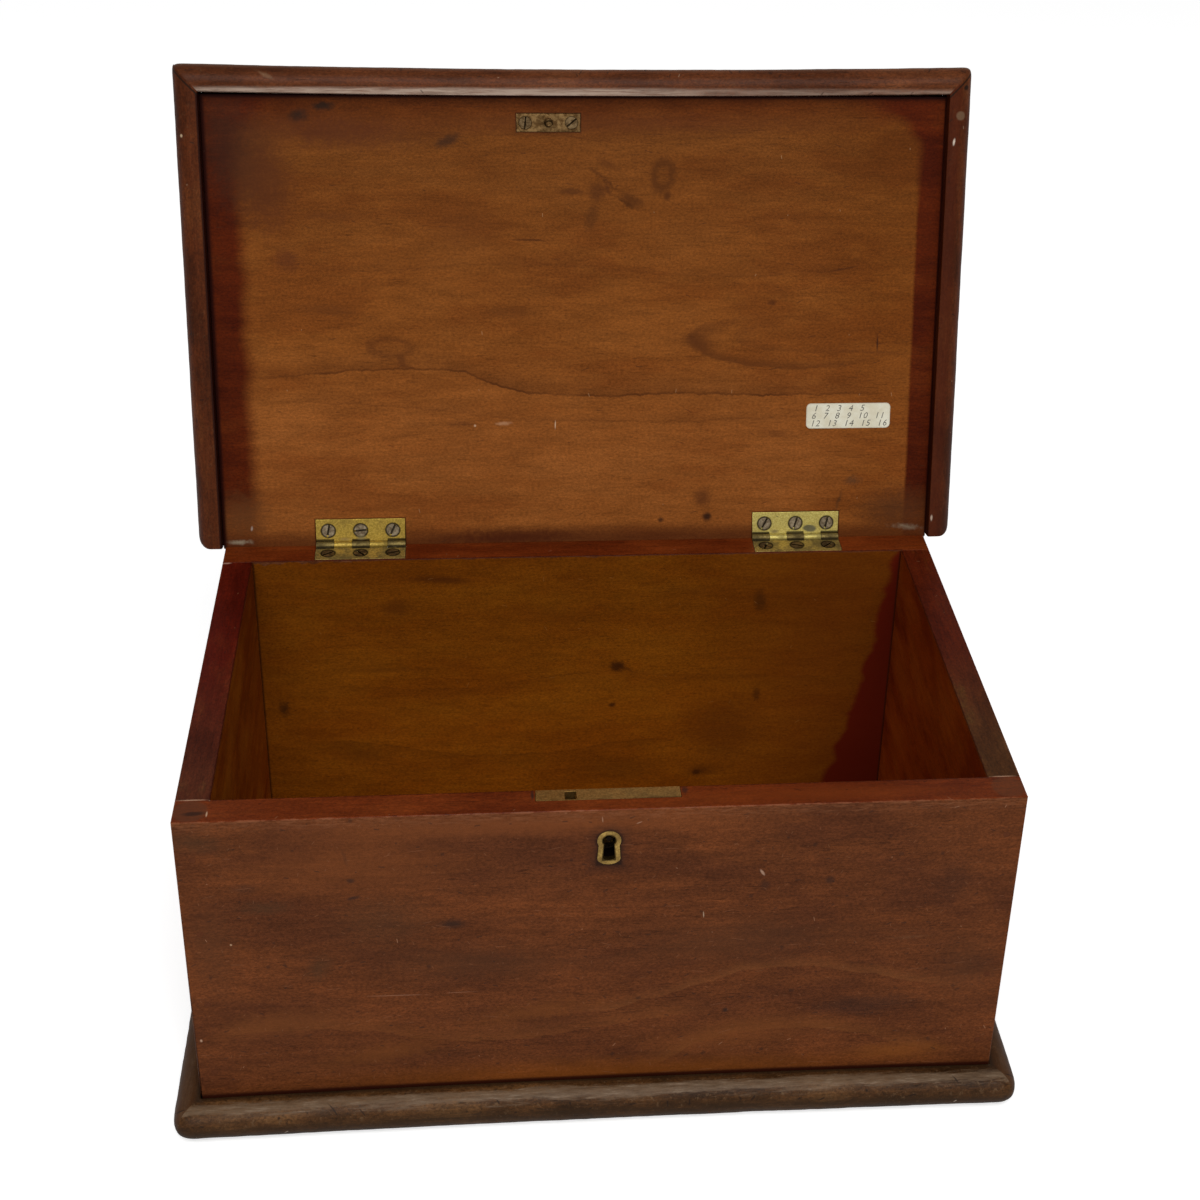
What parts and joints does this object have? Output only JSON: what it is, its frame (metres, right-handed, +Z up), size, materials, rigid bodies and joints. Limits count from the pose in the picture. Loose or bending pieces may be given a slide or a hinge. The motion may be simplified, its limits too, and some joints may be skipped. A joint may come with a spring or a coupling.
{
  "type": "desk letter box",
  "caption": "Low stained wooden box for papers with a moulded foot, a moulded lid on butt hinges that stops just past upright, and a box lock with keyhole.",
  "frame": {"origin": "centre of the carcase's footprint, on the surface that the box stands on", "axes": "+X to the right along the front, +Y from the front to the back, +Z up; the lid is stored open on its stop"},
  "size_m": [0.399, 0.3073, 0.4159],
  "materials": {
    "stained_wood": "satin stained and varnished pine, worn on the arrises",
    "pale_wood": "unfinished pine, toned by age",
    "worn_moulding": "stained moulding, dulled and rubbed",
    "hinge_brass": "old brass, lightly tarnished",
    "dull_brass": "dull tarnished brass",
    "screw_steel": "aged steel",
    "nail_iron": "filled and stained nail heads",
    "label_paper": "matt cream paper"
  },
  "bodies": {
    "case": {"front_board": "stained_wood", "back_board": "stained_wood", "left_side": "stained_wood", "right_side": "stained_wood", "bottom_board": "pale_wood", "base_moulding_front": "worn_moulding", "base_moulding_left": "worn_moulding", "base_moulding_right": "worn_moulding", "left_hinge_case_leaf": "hinge_brass", "right_hinge_case_leaf": "hinge_brass", "left_hinge_pin": "hinge_brass", "right_hinge_pin": "hinge_brass", "keyhole_escutcheon": "hinge_brass", "lock_plate": "dull_brass", "lock_case": "dull_brass", "lock_bolt_spring": "dull_brass", "left_hinge_case_screws": "screw_steel", "right_hinge_case_screws": "screw_steel", "lock_screws": "screw_steel", "lock_drill_pin": "screw_steel", "front_corner_nails": "nail_iron", "back_corner_nails": "nail_iron", "bottom_nails": "nail_iron", "base_brads": "nail_iron"},
    "lid": {"lid_panel": "stained_wood", "lid_moulding_front": "worn_moulding", "lid_moulding_left": "worn_moulding", "lid_moulding_right": "worn_moulding", "lid_brads": "nail_iron", "left_hinge_lid_leaf": "hinge_brass", "right_hinge_lid_leaf": "hinge_brass", "left_hinge_lid_screws": "screw_steel", "right_hinge_lid_screws": "screw_steel", "link_plate": "dull_brass", "lock_link": "dull_brass", "link_plate_screws": "screw_steel", "paper_label": "label_paper"},
    "bolt": {"lock_bolt": "dull_brass"}
  },
  "joints": [
    {"name": "lid_hinge", "type": "hinge", "parent": "case", "child": "lid", "pos_m": [0, 0.1155, 0.1761], "axis": [1, 0, 0], "range_deg": [0, 102.7]},
    {"name": "bolt_slide", "type": "slide", "parent": "case", "child": "bolt", "axis": [1, 0, 0], "range_m": [0, 0.0042]}
  ]
}
